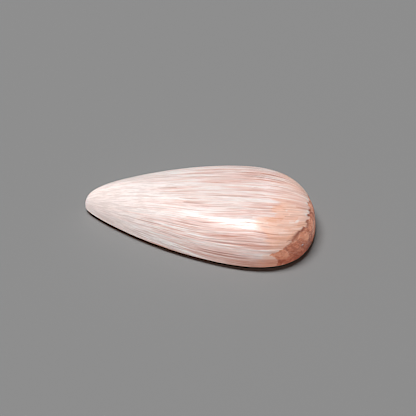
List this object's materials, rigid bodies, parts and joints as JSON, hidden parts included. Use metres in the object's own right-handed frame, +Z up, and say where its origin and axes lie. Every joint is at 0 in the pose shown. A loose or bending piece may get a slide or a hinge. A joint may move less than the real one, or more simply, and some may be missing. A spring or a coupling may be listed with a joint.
{
  "type": "scolecite cabochon",
  "caption": "Teardrop stone with a flat back, a chamfered back edge and a high polished dome, cut from silky pink and white needles that run along its length.",
  "frame": {"origin": "on the flat back, in the middle of the stone's length and width", "axes": "+X from the narrow tip to the blunt end, +Y across the stone, +Z up from the flat back to the top of the dome"},
  "size_m": [0.042, 0.021, 0.0092],
  "materials": {
    "scolecite": "polished, silky pink and white needles, darker where they are cut end-on at the blunt end"
  },
  "bodies": {
    "root": {"cabochon": "scolecite"}
  },
  "joints": []
}
